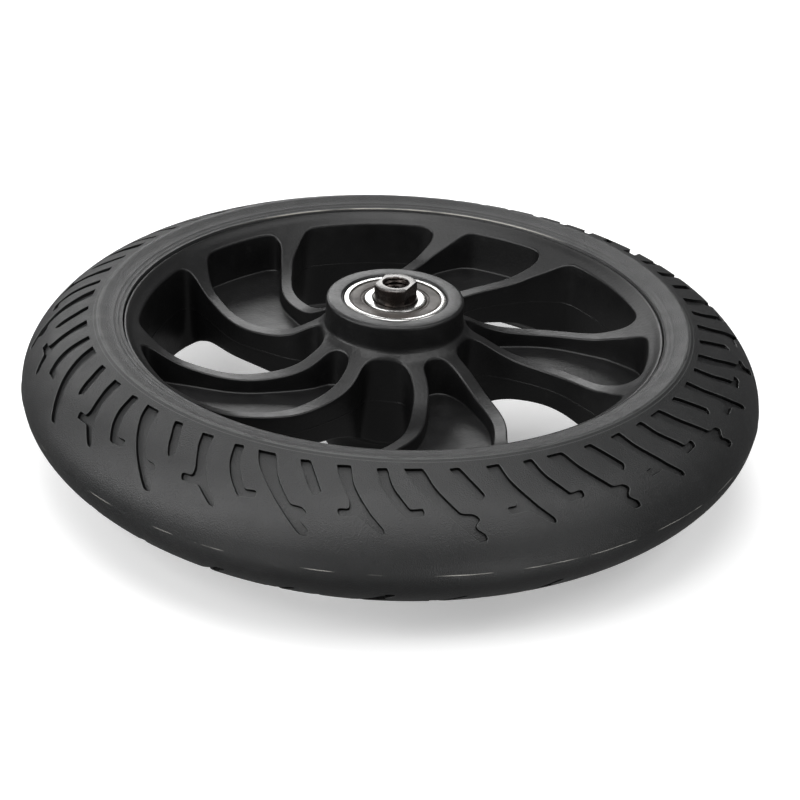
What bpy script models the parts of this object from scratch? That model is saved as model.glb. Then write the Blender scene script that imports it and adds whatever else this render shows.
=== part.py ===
"""Solid-tyred kick-scooter wheel with sealed ball bearings and a hollow axle.

The wheel lies flat: its spin axis is +Z and its centre is the origin.
"""

import math

import bmesh
import bpy

MM = 0.001
UP = 1
DOWN = -1
SIDES = (("upper", UP), ("lower", DOWN))

# Fit and mesh resolution.
GAP = 0.25
RIM_STEPS = 48
BEARING_STEPS = 24
BALL_SEGMENTS = 8
BALL_RINGS = 6

# Tyre section as (radius, height): sidewall ring, conical shoulder and round nose.
SEAM_RADIUS = 72.8
SEAM_HEIGHT = 16.5
TREAD_SECTION = (
    (79.1, 18.5),
    (82.2, 17.3),
    (85.8, 15.9),
    (89.8, 14.1),
    (92.9, 12.0),
    (96.0, 9.0),
    (98.2, 6.0),
    (99.55, 3.0),
)
TYRE_RADIUS = 100.0

# Rim: lip, tyre bed with its key rib, dished spoke plane and hub boss.
LIP_HEIGHT = 15.9
LIP_INNER_RADIUS = 71.0
BED_RIB_RADIUS = 76.6
BED_RIB_HALF_WIDTH = 7.0
HUB_RADIUS = 18.7
HUB_HALF_LENGTH = 21.4
HUB_BORE_RADIUS = 12.0
SPOKE_PLANE = (
    (70.5, 14.4),
    (68.2, 12.75),
    (62.8, 9.2),
    (56.8, 6.7),
    (45.0, 5.2),
    (35.0, 5.8),
    (29.0, 7.5),
    (24.0, 10.2),
    (20.3, 12.3),
)

# Ten swept spokes in five pairs. The narrow pocket of a pair is closed by a web.
SPOKE_PAIRS = 5
PAIR_PITCH = 360 / SPOKE_PAIRS
NARROW_POCKET_ANGLE = 30.2
SPOKE_HALF_WIDTH = 1.9
SPOKE_SWEEP = ((18.0, 27.5), (26.2, 29.0), (35.0, 24.8), (45.2, 19.6), (56.8, 11.3), (68.5, 5.4))
POCKET_OUTER_RADIUS = 68.8
POCKET_INNER_RADIUS = 20.7
POCKET_SIDE_POINTS = 8
POCKET_ARC_POINTS = 5
LEADING_FILLET = 6.4
TRAILING_FILLET = 2.6
HUB_FILLET = 2.6
FLARE_START = 58.0
FLARE_EASE = 4.0
FLARE_SLOPE = 0.4
FILLET_POINTS = 3
WEB_HALF_THICKNESS = 1.25
CUTTER_REACH = 30.0

# Deep-groove bearing of the 12 x 28 x 8 mm size.
BEARING_RADIUS = 14.0
BEARING_BORE_RADIUS = 6.1
BEARING_WIDTH = 8.0
BEARING_RECESS = 0.3
BALL_RADIUS = 2.381
BALL_COUNT = 8
PITCH_RADIUS = 10.0
RACE_RADIUS = 2.6
RACE_POINTS = 4
OUTER_LAND_RADIUS = 11.9
INNER_LAND_RADIUS = 8.25
SEAL_OUTER_RADIUS = 12.5
SEAL_INNER_RADIUS = 8.5
SEAL_THICKNESS = 0.8
SEAL_RECESS = 0.25
SEAL_SEAT_DEPTH = 1.2
CAGE_INNER_RADIUS = 9.3
CAGE_OUTER_RADIUS = 10.7
CAGE_BASE = -2.75
CAGE_TOP = 1.0
CAGE_POCKET_RADIUS = 2.5

# Axle: hollow, tapped, with two flats at each end.
AXLE_RADIUS = 5.95
AXLE_HALF_LENGTH = 25.7
AXLE_BORE_RADIUS = 3.4
AXLE_CHAMFER = 0.5
BORE_CHAMFER = 0.3
FLAT_HALF_WIDTH = 4.5
FLAT_START = 21.6
FLAT_NORMAL_ANGLE = -25.0
SPACER_RADIUS = 8.0

SEAT_RADIUS = BEARING_RADIUS + 0.15
BEARING_FACE = HUB_HALF_LENGTH - BEARING_RECESS
BEARING_CENTRE = BEARING_FACE - BEARING_WIDTH / 2
BEARING_BACK = BEARING_FACE - BEARING_WIDTH

for leftover in list(bpy.data.objects):
    bpy.data.objects.remove(leftover)

wheel_parts = bpy.data.collections.new("kick_scooter_wheel")
bpy.context.scene.collection.children.link(wheel_parts)
cutters = bpy.data.collections.new("cutters")
bpy.context.scene.collection.children.link(cutters)


def material(name, colour, roughness, metallic=0.0):
    made = bpy.data.materials.new(name)
    made.use_nodes = True
    shader = made.node_tree.nodes["Principled BSDF"]
    shader.inputs["Base Color"].default_value = (*colour, 1.0)
    shader.inputs["Roughness"].default_value = roughness
    shader.inputs["Metallic"].default_value = metallic
    return made


RUBBER = material("tyre_rubber", (0.022, 0.022, 0.024), 0.55)
PLASTIC = material("rim_plastic", (0.018, 0.018, 0.020), 0.45)
BEARING_STEEL = material("bearing_steel", (0.72, 0.72, 0.70), 0.22, 1.0)
SEAL_RUBBER = material("seal_rubber", (0.055, 0.048, 0.045), 0.6)
CAGE_NYLON = material("cage_nylon", (0.35, 0.30, 0.20), 0.5)
BLACK_STEEL = material("black_oxide_steel", (0.060, 0.048, 0.042), 0.3, 1.0)
SPACER_STEEL = material("spacer_steel", (0.45, 0.45, 0.45), 0.4, 1.0)


def add_object(name, mesh, surface, collection=wheel_parts):
    made = bpy.data.objects.new(name, mesh)
    collection.objects.link(made)
    if surface:
        mesh.materials.append(surface)
        mesh.shade_smooth()
        mesh.set_sharp_from_angle(angle=math.radians(35))
    return made


def add_cutter(name, mesh):
    made = add_object(name, mesh, None, cutters)
    made.hide_render = True
    made.display_type = "WIRE"
    return made


def turned(name, profile, steps, surface, height=0.0):
    """A closed (radius, height) profile in mm, turned about +Z."""
    mesh = bpy.data.meshes.new(name)
    pairs = zip(profile, profile[1:] + profile[:1])
    runs_up_outside = sum(r0 * z1 - r1 * z0 for (r0, z0), (r1, z1) in pairs) > 0
    if runs_up_outside:
        profile = profile[::-1]
    points = [(radius * MM, 0.0, z * MM) for radius, z in profile]
    edges = [(i, (i + 1) % len(points)) for i in range(len(points))]
    mesh.from_pydata(points, edges, [])
    made = add_object(name, mesh, surface)
    made.location.z = height * MM
    screw = made.modifiers.new("turn", "SCREW")
    screw.axis = "Z"
    screw.steps = steps
    screw.render_steps = steps
    screw.use_merge_vertices = True
    screw.merge_threshold = 0.00001
    return made


def cut(target, cutter):
    boolean = target.modifiers.new("cut_" + cutter.name, "BOOLEAN")
    boolean.operation = "DIFFERENCE"
    boolean.solver = "EXACT"
    boolean.object = cutter


def mirrored(upper_half):
    """A profile that runs down from the top to the mid-plane, closed below it."""
    return upper_half + [(radius, -z) for radius, z in reversed(upper_half)]


def interpolate(knots, at):
    """Smooth curve through (position, value) knots, with Catmull-Rom slopes."""
    last = len(knots) - 1
    i = max(k for k in range(last) if knots[k][0] <= at or k == 0)
    (x0, y0), (x1, y1) = knots[i], knots[i + 1]

    def slope(k):
        low, high = knots[max(k - 1, 0)], knots[min(k + 1, last)]
        return (high[1] - low[1]) / (high[0] - low[0])

    t = (at - x0) / (x1 - x0)
    span = x1 - x0
    start = (1 + 2 * t) * (1 - t) ** 2 * y0 + t * (1 - t) ** 2 * span * slope(i)
    end = t * t * (3 - 2 * t) * y1 + t * t * (t - 1) * span * slope(i + 1)
    return start + end


def polar(radius, degrees):
    angle = math.radians(degrees)
    return radius * math.cos(angle), radius * math.sin(angle)


def rounded(corners):
    """An outline's corners, each (x, y, radius), with every radius above 0 as an arc."""
    outline = []
    for i, (x, y, radius) in enumerate(corners):
        if radius == 0:
            outline.append((x, y))
            continue
        before, after = corners[i - 1], corners[(i + 1) % len(corners)]
        into = (before[0] - x, before[1] - y)
        out = (after[0] - x, after[1] - y)
        into_length, out_length = math.hypot(*into), math.hypot(*out)
        reach = min(radius, 0.9 * into_length, 0.9 * out_length)
        start = (x + into[0] / into_length * reach, y + into[1] / into_length * reach)
        end = (x + out[0] / out_length * reach, y + out[1] / out_length * reach)
        for k in range(FILLET_POINTS + 1):
            t = k / FILLET_POINTS
            outline.append(
                tuple(
                    (1 - t) ** 2 * a + 2 * t * (1 - t) * b + t * t * c
                    for a, b, c in zip(start, (x, y), end)
                )
            )
    return outline


def spoke_edge(radius, phase, side):
    """The angle of one side of a spoke at a radius. The trailing side flares to the rim."""
    lean = 1.0 / math.cos(math.radians(25))
    offset = math.degrees(SPOKE_HALF_WIDTH * lean / radius)
    if side < 0:
        past = max(radius - FLARE_START, 0.0)
        eased = min(past, FLARE_EASE)
        offset += FLARE_SLOPE * (eased**2 / (2 * FLARE_EASE) + past - eased)
    return phase + interpolate(SPOKE_SWEEP, radius) + side * offset


def pocket_outline(first_phase, second_phase):
    """The pocket between two spokes, from the first to the second, anticlockwise."""
    inner, outer = POCKET_INNER_RADIUS, POCKET_OUTER_RADIUS
    fillet_room = LEADING_FILLET
    corners = []
    for k in range(POCKET_SIDE_POINTS):
        share = k / (POCKET_SIDE_POINTS - 1)
        radius = inner + HUB_FILLET + share * (outer - inner - HUB_FILLET - fillet_room)
        corners.append((*polar(radius, spoke_edge(radius, first_phase, 1)), 0))
    corners.append((*polar(outer, spoke_edge(outer, first_phase, 1)), LEADING_FILLET))
    start = spoke_edge(outer, first_phase, 1) + math.degrees(LEADING_FILLET / outer)
    end = spoke_edge(outer, second_phase, -1) - math.degrees(TRAILING_FILLET / outer)
    for k in range(POCKET_ARC_POINTS):
        angle = start + (end - start) * k / (POCKET_ARC_POINTS - 1)
        corners.append((*polar(outer, angle), 0))
    corners.append((*polar(outer, spoke_edge(outer, second_phase, -1)), TRAILING_FILLET))
    for k in reversed(range(POCKET_SIDE_POINTS)):
        share = k / (POCKET_SIDE_POINTS - 1)
        radius = inner + HUB_FILLET + share * (outer - inner - HUB_FILLET - TRAILING_FILLET)
        corners.append((*polar(radius, spoke_edge(radius, second_phase, -1)), 0))
    corners.append((*polar(inner, spoke_edge(inner, second_phase, -1)), HUB_FILLET))
    corners.append((*polar(inner, spoke_edge(inner, first_phase, 1)), HUB_FILLET))
    return rounded(corners)


def outline_cutter(name, outline, low, high):
    """A flat outline in mm, extruded between two heights, as a cutter mesh."""
    curve = bpy.data.curves.new(name, "CURVE")
    curve.dimensions = "2D"
    curve.fill_mode = "BOTH"
    curve.extrude = (high - low) / 2 * MM
    spline = curve.splines.new("POLY")
    spline.points.add(len(outline) - 1)
    for point, (x, y) in zip(spline.points, outline):
        point.co = (x * MM, y * MM, 0.0, 1.0)
    spline.use_cyclic_u = True
    guide = bpy.data.objects.new(name + "_curve", curve)
    cutters.objects.link(guide)
    bpy.context.view_layer.update()
    graph = bpy.context.evaluated_depsgraph_get()
    mesh = bpy.data.meshes.new_from_object(guide.evaluated_get(graph))
    bpy.data.objects.remove(guide)
    welded = bmesh.new()
    welded.from_mesh(mesh)
    bmesh.ops.remove_doubles(welded, verts=welded.verts, dist=0.00001)
    bmesh.ops.recalc_face_normals(welded, faces=welded.faces)
    welded.to_mesh(mesh)
    welded.free()
    made = add_cutter(name, mesh)
    made.location.z = (low + high) / 2 * MM
    return made


def make_tyre():
    upper = [(SEAM_RADIUS, SEAM_HEIGHT), *TREAD_SECTION]
    lower = [(radius, -height) for radius, height in reversed(upper)]
    rib = BED_RIB_RADIUS + GAP
    inside = [
        (SEAM_RADIUS, -BED_RIB_HALF_WIDTH - 2.2),
        (rib, -BED_RIB_HALF_WIDTH - GAP),
        (rib, BED_RIB_HALF_WIDTH + GAP),
        (SEAM_RADIUS, BED_RIB_HALF_WIDTH + 2.2),
    ]
    profile = upper + [(TYRE_RADIUS, 0.0)] + lower + inside
    return turned("tyre", profile, RIM_STEPS, RUBBER)


def make_rim():
    bed = SEAM_RADIUS - GAP
    upper = [
        (SEAT_RADIUS, BEARING_BACK - GAP),
        (SEAT_RADIUS, HUB_HALF_LENGTH - 0.3),
        (SEAT_RADIUS + 0.3, HUB_HALF_LENGTH),
        (HUB_RADIUS - 0.8, HUB_HALF_LENGTH),
        (HUB_RADIUS, HUB_HALF_LENGTH - 0.8),
        (HUB_RADIUS, 14.3),
    ]
    upper += reversed(SPOKE_PLANE)
    upper += [
        (LIP_INNER_RADIUS, LIP_HEIGHT - 0.6),
        (LIP_INNER_RADIUS + 0.6, LIP_HEIGHT),
        (bed, LIP_HEIGHT),
        (bed, BED_RIB_HALF_WIDTH + 2),
        (BED_RIB_RADIUS, BED_RIB_HALF_WIDTH),
    ]
    shoulder = (HUB_BORE_RADIUS, BEARING_BACK - GAP)
    profile = mirrored([shoulder] + upper)
    rim = turned("rim", profile, RIM_STEPS, PLASTIC)
    for pair in range(SPOKE_PAIRS):
        phase = pair * PAIR_PITCH
        narrow_start = phase - NARROW_POCKET_ANGLE
        window = pocket_outline(phase, phase + PAIR_PITCH - NARROW_POCKET_ANGLE)
        name = f"window_{pair + 1}"
        cut(rim, outline_cutter(name, window, -CUTTER_REACH, CUTTER_REACH))
        pocket = pocket_outline(narrow_start, phase)
        for side, sign in SIDES:
            ends = sorted((sign * WEB_HALF_THICKNESS, sign * CUTTER_REACH))
            cut(rim, outline_cutter(f"{side}_pocket_{pair + 1}", pocket, *ends))
    return rim


def race_arc(direction, land_radius):
    """A bearing race from its upper to its lower shoulder; direction +1 is the outer."""
    half_angle = math.acos(abs(land_radius - PITCH_RADIUS) / RACE_RADIUS)
    arc = []
    for k in range(RACE_POINTS + 1):
        angle = half_angle * (1 - 2 * k / RACE_POINTS)
        radius = PITCH_RADIUS + direction * RACE_RADIUS * math.cos(angle)
        arc.append((radius, RACE_RADIUS * math.sin(angle)))
    return arc


def make_outer_ring(side, sign):
    half = BEARING_WIDTH / 2
    seat = half - SEAL_SEAT_DEPTH
    seal_seat = SEAL_OUTER_RADIUS + 0.1
    outside = [
        (seal_seat, half),
        (BEARING_RADIUS - 0.3, half),
        (BEARING_RADIUS, half - 0.3),
        (BEARING_RADIUS, 0.3 - half),
        (BEARING_RADIUS - 0.3, -half),
        (seal_seat, -half),
        (seal_seat, -seat),
        (OUTER_LAND_RADIUS, -seat),
    ]
    inside = list(reversed(race_arc(1, OUTER_LAND_RADIUS)))
    profile = outside + inside + [(OUTER_LAND_RADIUS, seat), (seal_seat, seat)]
    height = sign * BEARING_CENTRE
    return turned(f"{side}_outer_ring", profile, BEARING_STEPS, BEARING_STEEL, height)


def make_inner_ring(side, sign):
    half = BEARING_WIDTH / 2
    outside = [(INNER_LAND_RADIUS - 0.2, half), (INNER_LAND_RADIUS, half - 0.2)]
    outside += race_arc(-1, INNER_LAND_RADIUS)
    outside += [(INNER_LAND_RADIUS, 0.2 - half), (INNER_LAND_RADIUS - 0.2, -half)]
    bore = [(BEARING_BORE_RADIUS, -half), (BEARING_BORE_RADIUS, half)]
    height = sign * BEARING_CENTRE
    return turned(f"{side}_inner_ring", outside + bore, BEARING_STEPS, BEARING_STEEL, height)


def make_seal(side, sign, place, facing):
    middle = BEARING_WIDTH / 2 - SEAL_RECESS - SEAL_THICKNESS / 2
    low, high = -SEAL_THICKNESS / 2, SEAL_THICKNESS / 2
    profile = [
        (SEAL_INNER_RADIUS, high),
        (SEAL_OUTER_RADIUS, high),
        (SEAL_OUTER_RADIUS, low),
        (SEAL_INNER_RADIUS, low),
    ]
    height = sign * BEARING_CENTRE + sign * facing * middle
    return turned(f"{side}_{place}_seal", profile, BEARING_STEPS, SEAL_RUBBER, height)


def make_cage(side, sign):
    """A crown cage: a ring with open ball pockets, its solid base turned outboard."""
    base, top = sorted((-sign * CAGE_BASE, -sign * CAGE_TOP), reverse=True)
    profile = [
        (CAGE_INNER_RADIUS, base),
        (CAGE_OUTER_RADIUS, base),
        (CAGE_OUTER_RADIUS, top),
        (CAGE_INNER_RADIUS, top),
    ]
    height = sign * BEARING_CENTRE
    cage = turned(f"{side}_cage", profile, BEARING_STEPS, CAGE_NYLON, height)
    for k in range(BALL_COUNT):
        drill = bmesh.new()
        bmesh.ops.create_cone(
            drill,
            cap_ends=True,
            segments=16,
            radius1=CAGE_POCKET_RADIUS * MM,
            radius2=CAGE_POCKET_RADIUS * MM,
            depth=6.0 * MM,
        )
        mesh = bpy.data.meshes.new(f"{side}_cage_drill_{k + 1}")
        drill.to_mesh(mesh)
        drill.free()
        cutter = add_cutter(mesh.name, mesh)
        angle = math.tau * k / BALL_COUNT
        cutter.rotation_euler = (0.0, math.pi / 2, angle)
        x, y = polar(PITCH_RADIUS * MM, math.degrees(angle))
        cutter.location = (x, y, height * MM)
        cut(cage, cutter)
    return cage


def make_balls(side, sign, cage_centre):
    sphere = bmesh.new()
    bmesh.ops.create_uvsphere(
        sphere, u_segments=BALL_SEGMENTS, v_segments=BALL_RINGS, radius=BALL_RADIUS * MM
    )
    mesh = bpy.data.meshes.new(f"{side}_ball")
    sphere.to_mesh(mesh)
    sphere.free()
    for k in range(BALL_COUNT):
        name = f"{side}_ball_{k + 1}"
        ball = bpy.data.objects.new(name, mesh)
        wheel_parts.objects.link(ball)
        ball.parent = cage_centre
        x, y = polar(PITCH_RADIUS * MM, 360 * k / BALL_COUNT)
        ball.location = (x, y, sign * BEARING_CENTRE * MM)
    mesh.materials.append(BEARING_STEEL)
    mesh.shade_smooth()


def make_spacer():
    half = BEARING_BACK - 0.2
    profile = [
        (BEARING_BORE_RADIUS, half),
        (SPACER_RADIUS, half),
        (SPACER_RADIUS, -half),
        (BEARING_BORE_RADIUS, -half),
    ]
    return turned("bearing_spacer", profile, BEARING_STEPS, SPACER_STEEL)


def make_axle():
    end = AXLE_HALF_LENGTH
    upper = [
        (AXLE_BORE_RADIUS, end - BORE_CHAMFER),
        (AXLE_BORE_RADIUS + BORE_CHAMFER, end),
        (AXLE_RADIUS - AXLE_CHAMFER, end),
        (AXLE_RADIUS, end - AXLE_CHAMFER),
    ]
    axle = turned("axle", mirrored(upper), BEARING_STEPS, BLACK_STEEL)
    depth = AXLE_RADIUS
    height = AXLE_HALF_LENGTH - FLAT_START + 2
    for side, sign in SIDES:
        for name, turn in (("fork", 0), ("rear", 180)):
            block = bmesh.new()
            bmesh.ops.create_cube(block, size=1.0)
            bmesh.ops.scale(block, verts=block.verts, vec=(depth * MM, 16 * MM, height * MM))
            mesh = bpy.data.meshes.new(f"{side}_{name}_flat")
            block.to_mesh(mesh)
            block.free()
            cutter = add_cutter(mesh.name, mesh)
            normal = FLAT_NORMAL_ANGLE + turn
            x, y = polar((FLAT_HALF_WIDTH + depth / 2) * MM, normal)
            cutter.location = (x, y, sign * (FLAT_START + height / 2) * MM)
            cutter.rotation_euler.z = math.radians(normal)
            cut(axle, cutter)
    return axle


make_tyre()
make_rim()
make_axle()
make_spacer()
for side_name, side_sign in SIDES:
    make_outer_ring(side_name, side_sign)
    make_inner_ring(side_name, side_sign)
    make_seal(side_name, side_sign, "outboard", 1)
    make_seal(side_name, side_sign, "inboard", -1)
    make_cage(side_name, side_sign)
    axis_empty = bpy.data.objects.new(f"{side_name}_cage_axis", None)
    wheel_parts.objects.link(axis_empty)
    make_balls(side_name, side_sign, axis_empty)
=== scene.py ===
"""A kick-scooter wheel: solid tyre with a cut tread, swept spokes, sealed bearings and axle."""

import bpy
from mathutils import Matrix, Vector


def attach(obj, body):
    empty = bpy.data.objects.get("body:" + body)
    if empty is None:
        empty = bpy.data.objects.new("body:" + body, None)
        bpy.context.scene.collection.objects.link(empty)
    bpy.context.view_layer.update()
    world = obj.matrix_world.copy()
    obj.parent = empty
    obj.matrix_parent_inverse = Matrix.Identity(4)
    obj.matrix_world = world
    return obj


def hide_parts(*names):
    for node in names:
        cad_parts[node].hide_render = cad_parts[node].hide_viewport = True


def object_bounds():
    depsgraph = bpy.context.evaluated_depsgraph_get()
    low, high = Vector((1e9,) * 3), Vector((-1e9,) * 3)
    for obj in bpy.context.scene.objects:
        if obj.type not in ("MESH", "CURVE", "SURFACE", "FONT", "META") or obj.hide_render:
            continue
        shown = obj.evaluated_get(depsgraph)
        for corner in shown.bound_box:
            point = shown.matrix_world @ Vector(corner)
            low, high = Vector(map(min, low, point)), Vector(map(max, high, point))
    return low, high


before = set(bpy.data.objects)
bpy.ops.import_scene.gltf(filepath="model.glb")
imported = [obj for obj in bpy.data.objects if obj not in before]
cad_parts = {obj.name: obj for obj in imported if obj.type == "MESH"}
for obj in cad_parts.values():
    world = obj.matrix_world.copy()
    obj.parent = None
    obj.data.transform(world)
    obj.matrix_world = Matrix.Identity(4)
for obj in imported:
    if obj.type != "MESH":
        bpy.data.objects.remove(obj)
cad_box = [list(corner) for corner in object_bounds()]

import math

import bmesh
import bpy
import numpy as np
from mathutils import Matrix, Vector
from mathutils.geometry import delaunay_2d_cdt

MM = 0.001
WELD = 1e-6
AUTO_SHARP = math.radians(38)
ON_SURFACE = 0.004  # mm between a point and a surface that it counts as lying on
SIDES = (("upper", 1), ("lower", -1))

# Tyre section as (radius, height) in mm, from the crease to the equator.
CREASE = (79.1, 18.5)
TREAD_SECTION = (
    CREASE,
    (82.2, 17.3),
    (85.8, 15.9),
    (89.8, 14.1),
    (92.9, 12.0),
    (96.0, 9.0),
    (98.2, 6.0),
    (99.55, 3.0),
    (100.0, 0.0),
)
SIDEWALL = (
    CREASE,
    (78.7, 18.42),
    (78.2, 18.24),
    (76.9, 17.8),
    (75.4, 17.33),
    (75.25, 17.32),
    (75.1, 17.25),
    (74.95, 17.18),
    (74.3, 16.98),
    (74.1, 16.96),
    (73.95, 16.9),
    (73.8, 16.82),
    (73.2, 16.63),
    (73.05, 16.66),
    (72.9, 16.72),
    (72.8, 16.62),
    (72.8, 9.2),
    (76.85, 7.25),
    (76.85, 3.6),
    (76.85, 0.0),
)

# Tread: fifteen repeats of four grooves. A point is (degrees in the repeat, mm below the crease).
TILE = 24.0
TILES = 15
TILE_START = 8.5
TILE_COLUMNS = 16
TILE_ROWS = 22
ANGLE_SCALE = 1.57  # mm to a degree, for even triangles
# The repeat's left border, as (mm below the crease, degrees), which runs between the grooves.
BORDER = (
    (-6.6, -1.2),
    (3.0, -1.2),
    (9.0, 0.4),
    (14.0, 4.05),
    (16.4, 5.0),
    (22.5, 7.5),
    (40.0, 7.5),
)
FINE_LINES = (0.55, 1.45)
FINE_LINE_HEIGHT = 0.06
FINE_LINE_HALF_WIDTH = 0.14
GROOVES = (
    (
        ((0, 3.1), (1.2, 6.8), (3.1, 10.5), (5.8, 15.3), (9.6, 21.5)),
        ((10.3, 22.4), (11.5, 22.2)),
        ((11.3, 20.7), (10.0, 19.0)),
        ((10.2, 18.1), (10.75, 17.3), (10.5, 16.5), (9.9, 15.7)),
        ((8.1, 15.4), (6.2, 11.65), (4.7, 8.0), (3.7, 4.4), (3.2, 3.0)),
    ),
    (
        ((7.3, 3.3), (7.8, 5.0), (8.8, 7.4), (9.7, 9.9), (10.8, 12.4)),
        ((11.35, 12.95), (12.15, 11.4)),
        ((11.45, 9.3), (10.5, 6.65), (9.55, 4.15), (9.05, 3.0)),
    ),
    (
        ((13.3, 3.3), (14.2, 6.9), (14.95, 9.0), (15.6, 10.9), (16.3, 13.2), (16.4, 14.8)),
        ((15.1, 14.8), (14.7, 15.2), (15.2, 16.9)),
        ((17.9, 16.5), (19.8, 19.0), (20.7, 20.2)),
        ((21.6, 20.5), (21.55, 19.2)),
        ((19.6, 15.75), (17.6, 11.05), (16.5, 7.5), (16.0, 4.5), (15.75, 3.0)),
    ),
    (
        ((19.7, 3.3), (20.6, 8.1), (21.4, 10.5), (22.35, 12.8), (24.15, 16.2)),
        ((24.5, 16.4), (26.9, 16.05)),
        ((27.1, 15.2), (26.8, 13.9)),
        ((25.0, 14.2), (23.7, 11.2), (22.8, 9.0), (22.15, 6.65), (21.8, 4.3), (21.5, 3.0)),
    ),
)
GROOVE_STEP = 0.5
# Down a groove's wall, as (mm in from its outline, mm of depth).
GROOVE_WALL = (
    (0.0, 0.0),
    (0.04, 0.02),
    (0.08, 0.07),
    (0.1, 0.2),
    (0.2, 0.95),
    (0.24, 1.03),
    (0.31, 1.03),
)
GROOVE_GAP = 0.45  # mm kept clear of other vertices round a groove
# Groove vertices further than this from the tread's face get painted shade; nearer ones, on the
# upper edge, get a painted highlight.
EDGE_HIGHLIGHT_DEPTH = 0.15
FLASH_HEIGHT = 0.1
FLASH_WAVES = ((17, 0.0), (41, 1.0), (73, 2.0))

# Rim: (radius, height) of the spokes' upper face, then spokes, pockets and webs, in mm and degrees.
LAND = (
    (19.1, 13.7),
    (20.3, 12.3),
    (24.0, 10.2),
    (29.0, 7.5),
    (35.0, 5.8),
    (45.0, 5.2),
    (56.8, 6.7),
    (62.8, 9.2),
    (68.2, 12.75),
    (70.5, 14.4),
)
LAND_INNER = 19.1
LAND_OUTER = 70.0
LAND_ROWS = 44
LAND_SPACING = 1.15
INNER_STEPS = 24
OUTER_STEPS = 48
PAIRS = 5
PAIR_PITCH = 72.0
NARROW_ANGLE = 30.2
SPOKE_HALF_WIDTH = 1.9
SPOKE_LEAN = 25.0
SPOKE_SWEEP = ((18.0, 27.5), (26.2, 29.0), (35.0, 24.8), (45.2, 19.6), (56.8, 11.3), (68.5, 5.4))
POCKET_OUTER = 68.8
POCKET_INNER = 20.7
LEADING_FILLET = 6.4
TRAILING_FILLET = 2.6
HUB_FILLET = 2.6
FLARE_START = 58.0
FLARE_EASE = 4.0
FLARE_SLOPE = 0.4
OUTLINE_STEP = 0.85
EDGE_ROUND = 0.5
EDGE_STEPS = 5
WEB_HALF = 1.25
WEB_FILLET = 0.5
WEB_FILLET_STEPS = 4
PARTING_FOOT = 0.3
PARTING_RIDGE = ((0.0, 0.22), (0.12, 0.08), (0.12, 0.0))  # (mm into the window, height)

# Hub boss and rim lip as (radius, height) in mm, up to the spokes' face and on from it.
HUB_SECTION = (
    (12.0, 0.0),
    (12.0, 12.5),
    (12.3, 12.85),
    (14.15, 12.85),
    (14.15, 20.95),
    (14.25, 21.2),
    (14.5, 21.35),
    (14.8, 21.4),
    (17.8, 21.4),
    (18.15, 21.33),
    (18.45, 21.1),
    (18.64, 20.8),
    (18.7, 20.4),
    (18.7, 15.9),
    (18.73, 15.1),
    (18.84, 14.35),
)
LIP_SECTION = (
    (70.5, 14.4),
    (71.1, 15.0),
    (71.6, 15.5),
    (71.9, 15.75),
    (72.15, 15.87),
    (72.4, 15.9),
    (72.51, 15.84),
    (72.55, 15.72),
    (72.55, 9.0),
    (76.6, 7.0),
    (76.6, 0.0),
)

# Bearings, as (radius, height from the bearing's middle) in mm.
BEARING_CENTRE = 17.1
BEARING_STEPS = 120
BALL_RADIUS = 2.381
BALL_COUNT = 8
BALL_PITCH_RADIUS = 10.0
RACE_GROOVE_RADIUS = 2.6
OUTER_LAND = 11.9
INNER_LAND = 8.25
SEAL_SEAT = (12.6, 2.8)
OUTER_RING_EDGE = ((12.6, 4.0), (13.55, 4.0), (13.7, 3.94), (13.92, 3.7), (14.0, 3.45))
INNER_RING_EDGE = ((7.95, 4.0), (8.15, 3.93), (INNER_LAND, 3.75))
INNER_RING_BORE = (
    (6.35, -4.0),
    (6.17, -3.93),
    (6.1, -3.75),
    (6.1, 3.75),
    (6.17, 3.93),
    (6.35, 4.0),
)
SEAL_SECTION = (
    (12.5, 3.45),
    (12.42, 3.62),
    (12.25, 3.66),
    (12.12, 3.55),
    (11.95, 3.55),
    (11.85, 3.74),
    (11.6, 3.75),
    (9.55, 3.75),
    (9.42, 3.7),
    (9.35, 3.5),
    (9.2, 3.48),
    (9.12, 3.6),
    (8.95, 3.66),
    (8.72, 3.6),
    (8.55, 3.4),
    (8.5, 3.15),
    (8.62, 2.98),
    (9.3, 2.95),
    (12.3, 2.95),
    (12.5, 3.05),
)

# Spacer tube and axle, in mm and degrees.
SPACER_CORNERS = ((6.1, 12.9), (8.0, 12.9), (8.0, -12.9), (6.1, -12.9))
SPACER_ROUND = 0.3
SPACER_STEPS = 96
AXLE_RADIUS = 5.95
AXLE_END = 25.7
AXLE_STEPS = 96
AXLE_SHARP = math.radians(28)
AXLE_FACE_RADIUS = 5.45
AXLE_CHAMFER = ((0.3, 0.06), (0.1, 0.25), (0, 0.5))  # (mm in from the radius, mm from the end)
AXLE_PLAIN_END = 12.0
FLAT_START = 21.6
FLAT_HALF_WIDTH = 4.5
FLAT_NORMAL = -25.0
BORE_MOUTH = 3.72
BORE_COUNTERSINK = 3.78
THREAD_START = 0.22
THREAD_PITCH = 1.25
THREAD_MINOR = 3.4
THREAD_DEPTH = 0.4
THREAD_LENGTH = 15.0
THREAD_RUNOUT = 1.5
ROWS_PER_TURN = 8


# ---------------------------------------------------------------- curves


def interpolate(knots, at):
    """Smooth curve through (position, value) knots, with Catmull-Rom slopes."""
    last = len(knots) - 1
    i = max(k for k in range(last) if knots[k][0] <= at or k == 0)
    (x0, y0), (x1, y1) = knots[i], knots[i + 1]

    def slope(k):
        low, high = knots[max(k - 1, 0)], knots[min(k + 1, last)]
        return (high[1] - low[1]) / (high[0] - low[0])

    t = (at - x0) / (x1 - x0)
    span = x1 - x0
    start = (1 + 2 * t) * (1 - t) ** 2 * y0 + t * (1 - t) ** 2 * span * slope(i)
    end = t * t * (3 - 2 * t) * y1 + t * t * (t - 1) * span * slope(i + 1)
    return start + end


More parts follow.
